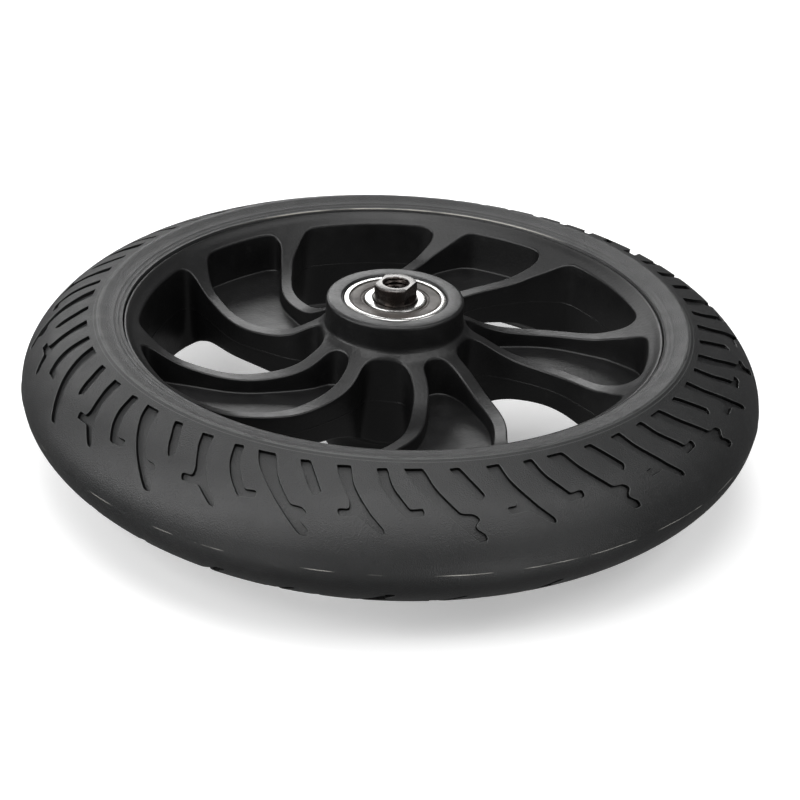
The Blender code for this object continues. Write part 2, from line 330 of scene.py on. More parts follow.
def through(points, per_span=8):
    """A smooth run of points through the given ones."""
    if len(points) == 2:
        return [tuple(map(float, p)) for p in points]
    at = [0.0]
    for (x0, y0), (x1, y1) in zip(points, points[1:]):
        at.append(at[-1] + math.hypot(x1 - x0, y1 - y0))
    across = [(u, p[0]) for u, p in zip(at, points)]
    down = [(u, p[1]) for u, p in zip(at, points)]
    run = []
    for low, high in zip(at, at[1:]):
        for k in range(per_span):
            u = low + (high - low) * k / per_span
            run.append((interpolate(across, u), interpolate(down, u)))
    return run + [tuple(map(float, points[-1]))]


def resampled(loop, step, smooth):
    """A closed loop at even steps, with its corners softened."""
    loop = np.array(loop, float)
    lengths = np.linalg.norm(np.roll(loop, -1, 0) - loop, axis=1)
    at = np.concatenate([[0], np.cumsum(lengths)])
    closed = np.vstack([loop, loop[:1]])
    count = max(8, int(round(at[-1] / step)))
    u = np.arange(count) * at[-1] / count
    even = np.stack([np.interp(u, at, closed[:, k]) for k in (0, 1)], 1)
    for _ in range(smooth):
        even = 0.5 * even + 0.25 * (np.roll(even, 1, 0) + np.roll(even, -1, 0))
    return even


def signed_area(loop):
    x, y = loop[:, 0], loop[:, 1]
    return 0.5 * (x * np.roll(y, -1) - y * np.roll(x, -1)).sum()


def inset(loop, distance):
    """The loop moved inwards by a distance, point for point."""
    ahead = np.roll(loop, -1, 0) - loop
    behind = loop - np.roll(loop, 1, 0)
    ahead /= np.linalg.norm(ahead, axis=1)[:, None]
    behind /= np.linalg.norm(behind, axis=1)[:, None]
    along = ahead + behind
    along /= np.linalg.norm(along, axis=1)[:, None]
    inward = np.stack([-along[:, 1], along[:, 0]], 1) * np.sign(signed_area(loop))
    return loop + inward * distance


def inside(points, loop):
    """Whether each point lies in the loop."""
    a, b = loop, np.roll(loop, -1, 0)
    x, y = points[:, :1], points[:, 1:2]
    spans = (a[:, 1] > y) != (b[:, 1] > y)
    rise = np.where(b[:, 1] == a[:, 1], 1e-12, b[:, 1] - a[:, 1])
    cross = a[:, 0] + (y - a[:, 1]) / rise * (b[:, 0] - a[:, 0])
    return ((spans & (x < cross)).sum(1) % 2).astype(bool)


def clearance(points, loop):
    """Each point's distance from the loop."""
    a, b = loop, np.roll(loop, -1, 0)
    along = b - a
    away = points[:, None] - a
    t = np.clip((away * along).sum(2) / (along**2).sum(1), 0, 1)
    return np.sqrt(((away - t[..., None] * along) ** 2).sum(2)).min(1)


def fill(border, holes, inner, spacing=0.0):
    """Triangles of the area in a border and outside its holes: (points, faces)."""
    loops = [border, *holes]
    if len(inner):
        keep = inside(inner, border)
        for hole in holes:
            keep &= ~inside(inner, hole)
        inner = inner[keep]
        for loop in loops:
            inner = inner[clearance(inner, loop) > spacing]
    points, edges = [], []
    for loop in loops:
        start, count = len(points), len(loop)
        points += [Vector(p) for p in loop]
        edges += [(start + i, start + (i + 1) % count) for i in range(count)]
    points += [Vector(p) for p in inner]
    made, _, faces, *_ = delaunay_2d_cdt(points, edges, [], 0, 1e-5)
    made = np.array([tuple(p) for p in made])
    faces = np.array([tuple(f) for f in faces if len(f) == 3])
    middles = made[faces].mean(1)
    keep = inside(middles, border)
    for hole in holes:
        keep &= ~inside(middles, hole)
    return made, faces[keep]


# ---------------------------------------------------------------- meshes


class Patch:
    """Vertices and faces that gather in one array."""

    def __init__(self):
        self.points = []
        self.faces = []
        self.count = 0

    def add(self, points, faces):
        self.points.append(np.asarray(points, float))
        self.faces += [tuple(int(i) + self.count for i in face) for face in faces]
        self.count += len(points)

    def band(self, rows):
        """Quads between closed rows of equal length."""
        rows = [np.asarray(row, float) for row in rows]
        count = len(rows[0])
        faces = []
        for k in range(len(rows) - 1):
            for i in range(count):
                here, after = k * count, (i + 1) % count
                faces.append((here + i, here + after, here + count + after, here + count + i))
        self.add(np.concatenate(rows), faces)

    def array(self):
        return np.concatenate(self.points)


def placed(patch, mapping, copies):
    """A patch repeated through a mapping: mapping(points, copy) gives x, y, z in mm."""
    points = patch.array()
    whole = Patch()
    for copy in copies:
        whole.add(mapping(points, copy), patch.faces)
    return whole


def vertices_of(mesh):
    """The mesh's vertices in mm."""
    places = np.empty(len(mesh.vertices) * 3)
    mesh.vertices.foreach_get("co", places)
    return places.reshape(-1, 3) / MM


def piece(name, patch, surface, body, nodes, normals=None, sharp=AUTO_SHARP):
    """An object made of a patch in mm, which rides a body and stands in for CAD nodes."""
    mesh = bpy.data.meshes.new(name)
    mesh.from_pydata((patch.array() * MM).tolist(), [], patch.faces)
    work = bmesh.new()
    work.from_mesh(mesh)
    bmesh.ops.remove_doubles(work, verts=work.verts, dist=WELD)
    bmesh.ops.recalc_face_normals(work, faces=work.faces)
    work.to_mesh(mesh)
    work.free()
    mesh.materials.append(surface)
    mesh.shade_smooth()
    mesh.set_sharp_from_angle(angle=sharp)
    if normals:
        mesh.normals_split_custom_set_from_vertices(normals(vertices_of(mesh)).tolist())
    made = bpy.data.objects.new(name, mesh)
    bpy.context.scene.collection.objects.link(made)
    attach(made, body)
    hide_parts(*nodes)
    return made


def ring_of(steps, start=0.0):
    """Unit vectors at even angles round the axis, from a start in degrees."""
    angles = np.radians(start + np.arange(steps) * 360 / steps)
    return np.stack([np.cos(angles), np.sin(angles)], 1)


def turned_rows(profile, ring, side=1):
    """One row round the axis for each (radius, height)."""
    return [np.column_stack([r * ring, np.full(len(ring), side * z)]) for r, z in profile]


def turned(profile, steps, height=0.0):
    """A closed profile turned round the axis."""
    patch = Patch()
    raised = [(radius, z + height) for radius, z in [*profile, profile[0]]]
    patch.band(turned_rows(raised, ring_of(steps)))
    return patch


def mirrored(upper_half):
    return [*upper_half, *((radius, -z) for radius, z in reversed(upper_half))]


def bend(start, corner, end, steps):
    """Points of the curve that rounds a corner from start to end."""
    run = []
    for k in range(steps + 1):
        t = k / steps
        shares = ((1 - t) ** 2, 2 * t * (1 - t), t * t)
        run.append(
            tuple(
                shares[0] * a + shares[1] * b + shares[2] * c
                for a, b, c in zip(start, corner, end)
            )
        )
    return run


def softened(corners, radius, steps=3):
    """A closed profile with every corner rounded."""
    profile = []
    for i, corner in enumerate(np.array(corners, float)):
        after = corners[(i + 1) % len(corners)]
        sides = [np.array(other, float) - corner for other in (corners[i - 1], after)]
        lengths = [np.linalg.norm(side) for side in sides]
        reach = min(radius, 0.45 * min(lengths))
        start, end = (corner + side / length * reach for side, length in zip(sides, lengths))
        profile += bend(start, corner, end, steps)
    return profile


# ---------------------------------------------------------------- materials

# Places in metres, as the start and end of a fade.
FLASH_FADE = (0.00005, 0.00013)
SEAM_RADIUS_FADE = (0.0729, 0.07296)
SEAM_HEIGHT_FADE = (0.01636, 0.01642)
SEAM_ARC_FADE = (0.72, 0.86)  # y over the radius: the side away from the camera
AXLE_END_FADE = (0.02545, 0.02565)

RUBBER_TONES = ((0.0075, 0.0078, 0.008), (0.0125, 0.0128, 0.013))
RUBBER_DUST = (0.03, 0.03, 0.03)
RUBBER_FLASH = (0.42, 0.41, 0.38)
# Painted highlight: a light line along the tyre's inner edge, only on the side away from the
# camera.
SEAM_HIGHLIGHT = (0.3, 0.29, 0.26)
# Painted shade on the groove walls.
GROOVE_SHADE = (0.003, 0.003, 0.003)
# Painted highlight on the grooves' upper edges.
GROOVE_EDGE_HIGHLIGHT = (0.06, 0.062, 0.061)
PLASTIC_TONES = ((0.0032, 0.0032, 0.0034), (0.005, 0.005, 0.0052))
PLASTIC_SCUFF = (0.028, 0.028, 0.028)
STEEL_TONES = ((0.74, 0.74, 0.73), (0.6, 0.59, 0.57))
SEAL_TONES = ((0.075, 0.066, 0.058), (0.045, 0.04, 0.037))
NYLON_TONES = ((0.44, 0.38, 0.26), (0.36, 0.3, 0.19))
OXIDE_TONES = ((0.034, 0.026, 0.022), (0.014, 0.012, 0.011))
# A lighter tone on the axle's end faces and the outer part of their chamfers.
OXIDE_END_TONE = (0.17, 0.165, 0.16)
SPACER_TONES = ((0.5, 0.5, 0.5), (0.38, 0.38, 0.38))
FLOOR_TONES = ((0.9, 0.9, 0.9), (0.93, 0.93, 0.93))
SPECULAR = 0.5
WHITE = (1, 1, 1, 1)


class Surface:
    """A Principled material with helpers for the nodes that feed it."""

    def __init__(self, name, colour, roughness, metallic=0.0):
        self.material = bpy.data.materials.new(name)
        self.material.use_nodes = True
        self.tree = self.material.node_tree
        self.shader = self.tree.nodes["Principled BSDF"]
        self.shader.inputs["Base Color"].default_value = (*colour, 1.0)
        self.shader.inputs["Roughness"].default_value = roughness
        self.shader.inputs["Metallic"].default_value = metallic
        self.shader.inputs["Specular IOR Level"].default_value = SPECULAR
        self.place = self.node("ShaderNodeTexCoord").outputs["Object"]

    def node(self, kind, **settings):
        made = self.tree.nodes.new(kind)
        for name, value in settings.items():
            setattr(made, name, value)
        return made

    def put(self, target, value):
        if isinstance(value, bpy.types.NodeSocket):
            self.tree.links.new(value, target)
        else:
            target.default_value = value

    def math(self, operation, first, second=0.0):
        made = self.node("ShaderNodeMath", operation=operation)
        for target, value in zip(made.inputs, (first, second)):
            self.put(target, value)
        return made.outputs[0]

    def times(self, first, *others):
        for other in others:
            first = self.math("MULTIPLY", first, other)
        return first

    def noise(self, scale, detail=3.0, rough=0.5, place=None):
        made = self.node("ShaderNodeTexNoise")
        self.put(made.inputs["Vector"], place or self.place)
        made.inputs["Scale"].default_value = scale
        made.inputs["Detail"].default_value = detail
        made.inputs["Roughness"].default_value = rough
        return made.outputs["Fac"]

    def span(self, value, low, high, to_low, to_high):
        """The value carried from one range to another, and clamped there."""
        made = self.node("ShaderNodeMapRange", clamp=True)
        for target, setting in zip(list(made.inputs)[:5], (value, low, high, to_low, to_high)):
            self.put(target, setting)
        return made.outputs[0]

    def mix(self, share, first, second):
        made = self.node("ShaderNodeMix", data_type="RGBA")
        self.put(made.inputs[0], share)
        for target, value in ((made.inputs[6], first), (made.inputs[7], second)):
            self.put(target, value if isinstance(value, bpy.types.NodeSocket) else (*value, 1.0))
        return made.outputs[2]

    def blend(self, noise, low, high, tones):
        """From one tone to the other while the noise goes from low to high."""
        return self.mix(self.span(noise, low, high, 0.0, 1.0), *tones)

    def axes(self):
        made = self.node("ShaderNodeSeparateXYZ")
        self.put(made.inputs[0], self.place)
        return made.outputs

    def radius(self):
        x, y, _ = self.axes()
        return self.math("SQRT", self.math("ADD", self.times(x, x), self.times(y, y)))

    def lathe(self, scale):
        """Noise that runs in circles about the axis."""
        together = self.node("ShaderNodeCombineXYZ")
        self.put(together.inputs[0], self.radius())
        self.put(together.inputs[1], self.axes()[2])
        return self.noise(scale, 2.0, 0.6, together.outputs[0])

    def bump(self, height, distance, strength=1.0, before=None):
        made = self.node("ShaderNodeBump")
        made.inputs["Strength"].default_value = strength
        made.inputs["Distance"].default_value = distance
        self.put(made.inputs["Height"], height)
        if before:
            self.put(made.inputs["Normal"], before)
        self.put(self.shader.inputs["Normal"], made.outputs[0])
        return made.outputs[0]

    def colour(self, value):
        self.put(self.shader.inputs["Base Color"], value)

    def roughness(self, noise, least, most):
        """Roughness that follows a noise."""
        self.put(self.shader.inputs["Roughness"], self.span(noise, 0.3, 0.7, least, most))


def rubber_surface():
    surface = Surface("tyre_rubber_look", (0.01, 0.0103, 0.0105), 0.42)
    grain = surface.noise(3000.0, 2.0)
    mottle = surface.noise(180.0, 5.0, 0.6)
    _, y, z = surface.axes()
    radius = surface.radius()
    tone = surface.blend(surface.noise(26.0, 4.0), 0.35, 0.65, RUBBER_TONES)
    tone = surface.mix(surface.span(mottle, 0.62, 0.78, 0.0, 0.35), tone, RUBBER_DUST)

    equator = surface.span(surface.math("ABSOLUTE", z), *FLASH_FADE, 1.0, 0.0)
    broken = surface.span(surface.noise(90.0, 3.0), 0.49, 0.6, 0.0, 0.8)
    tone = surface.mix(surface.times(equator, broken), tone, RUBBER_FLASH)

    # Painted highlight along the tyre's inner edge by the rim, on the side away from the camera
    # only, broken up by noise.
    inner = surface.span(radius, *SEAM_RADIUS_FADE, 1.0, 0.0)
    raised = surface.span(z, *SEAM_HEIGHT_FADE, 0.0, 1.0)
    arc = surface.span(surface.math("DIVIDE", y, radius), *SEAM_ARC_FADE, 0.0, 1.0)
    patchy = surface.span(surface.noise(60.0, 3.0), 0.36, 0.5, 0.25, 1.0)
    tone = surface.mix(surface.times(inner, raised, arc, patchy), tone, SEAM_HIGHLIGHT)

    # Painted shade on the groove walls: a dark colour and metallic 0.8 so they reflect little.
    # Painted highlight: a lighter colour on the grooves' upper edges.
    groove = surface.node("ShaderNodeAttribute", attribute_name="groove_wall").outputs["Fac"]
    wall = surface.span(groove, 0.0, 1.0, 0.0, 1.0)
    edge_highlight = surface.span(groove, -1.0, 0.0, 1.0, 0.0)
    tone = surface.mix(edge_highlight, surface.mix(wall, tone, GROOVE_SHADE), GROOVE_EDGE_HIGHLIGHT)
    surface.put(surface.shader.inputs["Metallic"], surface.times(wall, 0.8))
    surface.colour(tone)
    surface.roughness(mottle, 0.36, 0.5)
    surface.bump(mottle, 0.00012, 0.35, surface.bump(grain, 0.00016, 0.8))
    return surface.material


def plastic_surface():
    surface = Surface("rim_plastic_look", (0.0055, 0.0055, 0.0057), 0.4)
    scuff = surface.noise(260.0, 5.0, 0.65)
    tone = surface.blend(surface.noise(40.0, 3.0), 0.35, 0.65, PLASTIC_TONES)
    surface.colour(surface.mix(surface.span(scuff, 0.63, 0.8, 0.0, 0.3), tone, PLASTIC_SCUFF))
    surface.roughness(scuff, 0.34, 0.44)
    surface.bump(surface.noise(1100.0, 2.0), 0.0001, 0.6)
    return surface.material


def steel_surface():
    surface = Surface("bearing_steel_look", (0.7, 0.7, 0.69), 0.2, 1.0)
    lines = surface.lathe(2600.0)
    surface.colour(surface.blend(surface.noise(420.0, 3.0), 0.4, 0.7, STEEL_TONES))
    surface.roughness(lines, 0.16, 0.3)
    surface.bump(lines, 0.00002, 0.5)
    return surface.material


def seal_surface():
    surface = Surface("seal_rubber_look", (0.06, 0.052, 0.046), 0.5)
    stain = surface.noise(300.0, 4.0)
    surface.colour(surface.blend(stain, 0.35, 0.7, SEAL_TONES))
    surface.roughness(stain, 0.4, 0.58)
    surface.bump(surface.noise(1800.0, 2.0), 0.00003, 0.5)
    return surface.material


def nylon_surface():
    surface = Surface("cage_nylon_look", (0.42, 0.36, 0.24), 0.5)
    stain = surface.noise(350.0, 3.0)
    surface.colour(surface.blend(stain, 0.3, 0.7, NYLON_TONES))
    surface.roughness(stain, 0.42, 0.58)
    surface.bump(surface.noise(1500.0, 2.0), 0.00003, 0.4)
    return surface.material


def oxide_surface():
    surface = Surface("black_oxide_look", (0.05, 0.042, 0.038), 0.25, 0.75)
    stain = surface.noise(330.0, 4.0)
    tone = surface.blend(stain, 0.35, 0.7, OXIDE_TONES)
    height = surface.math("ABSOLUTE", surface.axes()[2])
    # Lighter on both end faces of the axle.
    surface.colour(surface.mix(surface.span(height, *AXLE_END_FADE, 0.0, 0.85), tone, OXIDE_END_TONE))
    surface.roughness(stain, 0.18, 0.34)
    surface.bump(surface.lathe(2200.0), 0.00003, 0.5)
    return surface.material


def spacer_surface():
    surface = Surface("spacer_steel_look", (0.45, 0.45, 0.45), 0.35, 1.0)
    lines = surface.lathe(1800.0)
    surface.colour(surface.mix(lines, *SPACER_TONES))
    surface.roughness(lines, 0.28, 0.42)
    surface.bump(lines, 0.00003, 0.5)
    return surface.material


RUBBER = rubber_surface()
PLASTIC = plastic_surface()
STEEL = steel_surface()
SEAL = seal_surface()
NYLON = nylon_surface()
OXIDE = oxide_surface()
SPACER = spacer_surface()


# ---------------------------------------------------------------- tyre


def section_table():
    """Dense samples of the tread section: distance, radius, height and outward normal."""
    whole = [*TREAD_SECTION, *((r, -z) for r, z in reversed(TREAD_SECTION[:-1]))]
    at = [0.0]
    for (r0, z0), (r1, z1) in zip(whole, whole[1:]):
        at.append(at[-1] + math.hypot(r1 - r0, z1 - z0))
    radii = [(u, r) for u, (r, _) in zip(at, whole)]
    heights = [(u, z) for u, (_, z) in zip(at, whole)]
    end = at[len(TREAD_SECTION) - 1]
    u = np.linspace(0, end, 1200)
    r = np.array([interpolate(radii, t) for t in u])
    z = np.array([interpolate(heights, t) for t in u])
    z[-1] = 0.0
    s = np.concatenate([[0], np.cumsum(np.hypot(np.diff(r), np.diff(z)))])
    dr, dz = np.gradient(r, s), np.gradient(z, s)
    dr[-1] = 0.0
    long = np.hypot(dr, dz)
    return s, r, z, -dz / long, dr / long


SECTION = section_table()
EQUATOR = SECTION[0][-1]


def flash(angle):
    """Height of the moulding flash on the equator, by angle in radians."""
    wave = sum(np.sin(count * angle + shift) for count, shift in FLASH_WAVES)
    return FLASH_HEIGHT * (1.0 + 0.3 * wave)


def on_tyre(points, copy):
    """(degrees, distance, depth) on the tread to x, y, z; copy is (turn, side)."""
    turn, side = copy
    s, r, z, nr, nz = SECTION
    angle = np.radians(points[:, 0] + turn)
    at, depth = points[:, 1], points[:, 2].copy()
    depth = np.where(at > EQUATOR - 1e-3, -flash(angle), depth)
    radius = np.interp(at, s, r) - depth * np.interp(at, s, nr)
    height = np.interp(at, s, z) - depth * np.interp(at, s, nz)
    return np.column_stack([radius * np.cos(angle), radius * np.sin(angle), side * height])


def tread_normals(places):
    """The section's own normals on the tread and the groove floors, and zeros elsewhere."""
    _, r, z, nr, nz = SECTION
    radius = np.hypot(places[:, 0], places[:, 1])
    height = np.abs(places[:, 2])
    order = np.argsort(z)
    normals = np.zeros(places.shape)
    for depth in (0.0, GROOVE_WALL[-1][1]):
        level = (z - depth * nz)[order]
        fit = np.interp(height, level, (r - depth * nr)[order])
        on = (np.abs(fit - radius) < ON_SURFACE) & (height < CREASE[1] - 0.05) & (height > 0.02)
        out = np.interp(height, level, nr[order]) / radius
        rise = np.interp(height, level, nz[order]) * np.sign(places[:, 2])
        found = np.column_stack([places[:, 0] * out, places[:, 1] * out, rise])
        normals = np.where(on[:, None], found, normals)
    return normals


def groove_walls(places):
    """1 on the walls of the grooves, where shade is painted, -1 on their upper edges, where a
    highlight is painted, and 0 on the rest of the tyre.
    """
    radius, height = np.hypot(places[:, 0], places[:, 1]), np.abs(places[:, 2])
    _, r, z, _, _ = SECTION
    unset = np.abs(tread_normals(places)).sum(1) < 0.5
    found = np.flatnonzero(unset & (radius > r[0] + 0.2) & (height > 1.0))
    depth = np.zeros(len(places))
    for some in np.array_split(found, 40):
        depth[some] = np.hypot(radius[some, None] - r, height[some, None] - z).min(1)
    return np.where(depth > EDGE_HIGHLIGHT_DEPTH, 1.0, np.where(depth > 0, -1.0, 0.0))


def tread_tile():
    """One repeat of the tread, and the angle of its border at the crease."""

    def border(at):
        return np.interp(at, [p[0] for p in BORDER], [p[1] for p in BORDER])

    def lift(at):
        fine = np.isclose(at[:, None], FINE_LINES, atol=1e-3).any(1)
        return np.where(fine, -FINE_LINE_HEIGHT, 0.0)

    steps = (-FINE_LINE_HALF_WIDTH, 0.0, FINE_LINE_HALF_WIDTH)
    fine = [at + step for at in FINE_LINES for step in steps]
    rows = np.linspace(0, EQUATOR, TILE_ROWS + 1)
    rows = np.array(sorted([0.0, *fine, 2.2, *rows[rows > 2.5][:-1], EQUATOR - 0.12, EQUATOR]))
    columns = np.arange(TILE_COLUMNS + 1) * TILE / TILE_COLUMNS
    left = [(border(s), s) for s in rows]
    right = [(border(s) + TILE, s) for s in rows]
    top = [(border(0.0) + c, 0.0) for c in columns[1:-1]]
    bottom = [(border(EQUATOR) + c, EQUATOR) for c in columns[1:-1]]
    scale = np.array([ANGLE_SCALE, 1.0])
    outer = np.array([*top[::-1], *left, *bottom, *right[::-1]]) * scale
    holes = []
    for runs in GROOVES:
        loop = [(a * ANGLE_SCALE, s) for run in runs for a, s in through(run)]
        holes.append(resampled(loop, GROOVE_STEP, 1))
    inner = np.array([(border(s) + c, s) for s in rows[1:-1] for c in columns[1:-1]]) * scale
    points, faces = fill(outer, holes, inner, GROOVE_GAP)
    tile = Patch()
    tile.add(np.column_stack([points / scale, lift(points[:, 1])]), faces)
    for hole in holes:
        wall = [(inset(hole, distance) / scale, depth) for distance, depth in GROOVE_WALL]
        tile.band([np.column_stack([loop, np.full(len(loop), depth)]) for loop, depth in wall])
        last, depth = GROOVE_WALL[-1]
        points, faces = fill(inset(hole, last), [], np.empty((0, 2)))
        tile.add(np.column_stack([points / scale, np.full(len(points), depth)]), faces)
    return tile, border(0.0)


def make_tyre():
    tile, first = tread_tile()
    copies = []
    for _, side in SIDES:
        start = TILE_START + (0 if side > 0 else TILE / 2)
        copies += [(start + TILE * k, side) for k in range(TILES)]
    whole = placed(tile, on_tyre, copies)
    ring = ring_of(TILES * TILE_COLUMNS, TILE_START + first)
    for _, side in SIDES:
        whole.band(turned_rows(SIDEWALL, ring, side))
    tyre = piece("solid_tyre", whole, RUBBER, "wheel", ["tyre"], tread_normals)
    # Mask for the painted shade and painted highlight of the grooves.
    mask = tyre.data.attributes.new("groove_wall", "FLOAT", "POINT")
    mask.data.foreach_set("value", groove_walls(vertices_of(tyre.data)).astype(np.float32))


# ---------------------------------------------------------------- rim


def polar(radius, degrees):
    angle = math.radians(degrees)
    return radius * math.cos(angle), radius * math.sin(angle)


def rounded(corners, steps=8):
    """An outline's corners, each (x, y, radius), with every radius above 0 as an arc."""
    outline = []
    for i, (x, y, radius) in enumerate(corners):
        if radius == 0:
            outline.append((x, y))
            continue
        before, after = corners[i - 1], corners[(i + 1) % len(corners)]
        into = (before[0] - x, before[1] - y)
        out = (after[0] - x, after[1] - y)
        into_length, out_length = math.hypot(*into), math.hypot(*out)
        reach = min(radius, 0.98 * into_length, 0.98 * out_length)
        start = (x + into[0] / into_length * reach, y + into[1] / into_length * reach)
        end = (x + out[0] / out_length * reach, y + out[1] / out_length * reach)
        outline += bend(start, (x, y), end, steps)
    return outline


def spoke_edge(radius, phase, side):
    """The angle of a spoke's side at a radius. The trailing side flares towards the rim."""
    lean = 1.0 / math.cos(math.radians(SPOKE_LEAN))
    offset = math.degrees(SPOKE_HALF_WIDTH * lean / radius)
    if side < 0:
        past = max(radius - FLARE_START, 0.0)
        eased = min(past, FLARE_EASE)
        offset += FLARE_SLOPE * (eased**2 / (2 * FLARE_EASE) + past - eased)
    return phase + interpolate(SPOKE_SWEEP, radius) + side * offset


def pocket_outline(first_phase, second_phase, side_points=26, arc_points=12):
    """The pocket between two spokes, from the first to the second, anticlockwise."""
    inner, outer = POCKET_INNER, POCKET_OUTER

    def along(phase, side, fillet):
        """The points up one spoke's side, between the hub's fillet and the rim's."""
        run = []
        for k in range(side_points):
            share = k / (side_points - 1)
            radius = inner + HUB_FILLET + share * (outer - inner - HUB_FILLET - fillet)
            run.append((*polar(radius, spoke_edge(radius, phase, side)), 0))
        return run

    def corner(radius, phase, side, fillet):
        return (*polar(radius, spoke_edge(radius, phase, side)), fillet)

    start = spoke_edge(outer, first_phase, 1) + math.degrees(LEADING_FILLET / outer)
    end = spoke_edge(outer, second_phase, -1) - math.degrees(TRAILING_FILLET / outer)
    corners = along(first_phase, 1, LEADING_FILLET)
    corners.append(corner(outer, first_phase, 1, LEADING_FILLET))
    for k in range(arc_points):
        corners.append((*polar(outer, start + (end - start) * k / (arc_points - 1)), 0))
    corners.append(corner(outer, second_phase, -1, TRAILING_FILLET))
    corners += along(second_phase, -1, TRAILING_FILLET)[::-1]
    corners.append(corner(inner, second_phase, -1, HUB_FILLET))
    corners.append(corner(inner, first_phase, 1, HUB_FILLET))
    return resampled(rounded(corners), OUTLINE_STEP, 2)


def land_table():
    """Dense samples of the spokes' upper face: radius, height and slope."""
    r = np.linspace(LAND_INNER - 0.5, LAND_OUTER + 0.5, 1400)
    z = np.array([interpolate(LAND, at) for at in r])
    return r, z, np.gradient(z, r)


LAND_RADII, LAND_HEIGHTS, LAND_SLOPES = land_table()


def land_height(points):
    return np.interp(np.hypot(points[:, 0], points[:, 1]), LAND_RADII, LAND_HEIGHTS)


def land_normals(places):
    """The spokes' upper face's own normals on it, and zeros elsewhere."""
    radius = np.maximum(np.hypot(places[:, 0], places[:, 1]), 1e-6)
    side = np.sign(places[:, 2])
    fit = np.interp(radius, LAND_RADII, LAND_HEIGHTS)
    slope = np.interp(radius, LAND_RADII, LAND_SLOPES)
    on = np.abs(fit - np.abs(places[:, 2])) < ON_SURFACE
    on &= (radius > LAND_INNER - 0.01) & (radius < LAND_OUTER + 0.01)
    outward = -places[:, :2] / radius[:, None] * slope[:, None]
    normals = np.column_stack([outward, side])
    normals /= np.linalg.norm(normals, axis=1)[:, None]
    return np.where(on[:, None], normals, 0.0)


def at_height(loop, height):
    return np.column_stack([loop, np.broadcast_to(height, len(loop))])


def pocket_wall(outline, foot):
    """Rows down a pocket's wall, from its rounded upper edge to the foot."""
    rows = []
    for k in range(EDGE_STEPS + 1):
        turn = math.pi / 2 * k / EDGE_STEPS
        loop = inset(outline, -EDGE_ROUND * (1 - math.sin(turn)))
        rows.append(at_height(loop, land_height(loop) - EDGE_ROUND * (1 - math.cos(turn))))
    top = rows[-1][:, 2]
    for share in (0.75, 0.5, 0.25, 0.0):
        rows.append(at_height(outline, foot + (top - foot) * share))
    return rows


def rim_sector():
    """A fifth of the rim's upper half between two spoke centre-lines, in x, y, z."""
    sector = Patch()
    window = pocket_outline(0, PAIR_PITCH - NARROW_ANGLE)
    blind = pocket_outline(PAIR_PITCH - NARROW_ANGLE, PAIR_PITCH)

    radii = np.linspace(LAND_INNER, LAND_OUTER, LAND_ROWS)
    sweep = [interpolate(SPOKE_SWEEP, r) for r in radii]
    near = [polar(r, a) for r, a in zip(radii, sweep)]
    far = [polar(r, a + PAIR_PITCH) for r, a in zip(radii, sweep)]
    inner_arc = [
        polar(LAND_INNER, sweep[0] + PAIR_PITCH * k / INNER_STEPS) for k in range(1, INNER_STEPS)
    ]
    outer_arc = [
        polar(LAND_OUTER, sweep[-1] + PAIR_PITCH * k / OUTER_STEPS) for k in range(1, OUTER_STEPS)
    ]
    border = np.array([*near, *outer_arc, *far[::-1], *inner_arc[::-1]])
    grid = np.array(
        [
            polar(r, a)
            for r in np.arange(LAND_INNER + 0.9, LAND_OUTER, LAND_SPACING)
            for a in np.arange(0, 110, math.degrees(1.5 / r))
        ]
    )
    holes = [inset(outline, -EDGE_ROUND) for outline in (window, blind)]
    points, faces = fill(border, holes, grid, 0.5)
    sector.add(at_height(points, land_height(points)), faces)

    rows = pocket_wall(window, PARTING_FOOT)
    sector.band(rows + [at_height(inset(window, step), height) for step, height in PARTING_RIDGE])

    rows = pocket_wall(blind, WEB_HALF + WEB_FILLET)
    for k in range(1, WEB_FILLET_STEPS + 1):
        turn = math.pi / 2 * k / WEB_FILLET_STEPS
        loop = inset(blind, WEB_FILLET * (1 - math.cos(turn)))
        rows.append(at_height(loop, WEB_HALF + WEB_FILLET * (1 - math.sin(turn))))
    points, faces = fill(inset(blind, WEB_FILLET), [], grid, 1.2)
    sector.add(at_height(points, WEB_HALF), faces)
    sector.band(rows)
    return sector, sweep[0], sweep[-1]


def make_rim():
    sector, first, last = rim_sector()

    def turn(points, copy):
        angle, side = copy
        c, s = math.cos(math.radians(angle)), math.sin(math.radians(angle))
        x, y, z = points.T
        return np.column_stack([c * x - s * y, s * x + c * y, side * z])

    turns = [PAIR_PITCH * k for k in range(PAIRS)]
    whole = placed(sector, turn, [(angle, side) for _, side in SIDES for angle in turns])
    foot = float(np.interp(LAND_INNER, LAND_RADII, LAND_HEIGHTS))
    brink = float(np.interp(LAND_OUTER, LAND_RADII, LAND_HEIGHTS))
    hub = [*HUB_SECTION, (LAND_INNER, foot)]
    lip = [(LAND_OUTER, brink), *LIP_SECTION]
    for profile, start, steps in ((hub, first, INNER_STEPS), (lip, last, OUTER_STEPS)):
        ring = ring_of(PAIRS * steps, start)
        for _, side in SIDES:
            whole.band(turned_rows(profile, ring, side))
    piece("spoked_rim", whole, PLASTIC, "wheel", ["rim"], land_normals)


# ---------------------------------------------------------------- bearings and axle


def race_arc(direction, land_radius, points=14):
    """The ball groove's arc down a ring: 1 for the outer ring's, -1 for the inner ring's."""
    half_angle = math.acos(abs(land_radius - BALL_PITCH_RADIUS) / RACE_GROOVE_RADIUS)
    arc = []
    for k in range(points + 1):
        angle = half_angle * (1 - 2 * k / points)
        radius = BALL_PITCH_RADIUS + direction * RACE_GROOVE_RADIUS * math.cos(angle)
        arc.append((radius, RACE_GROOVE_RADIUS * math.sin(angle)))
    return arc


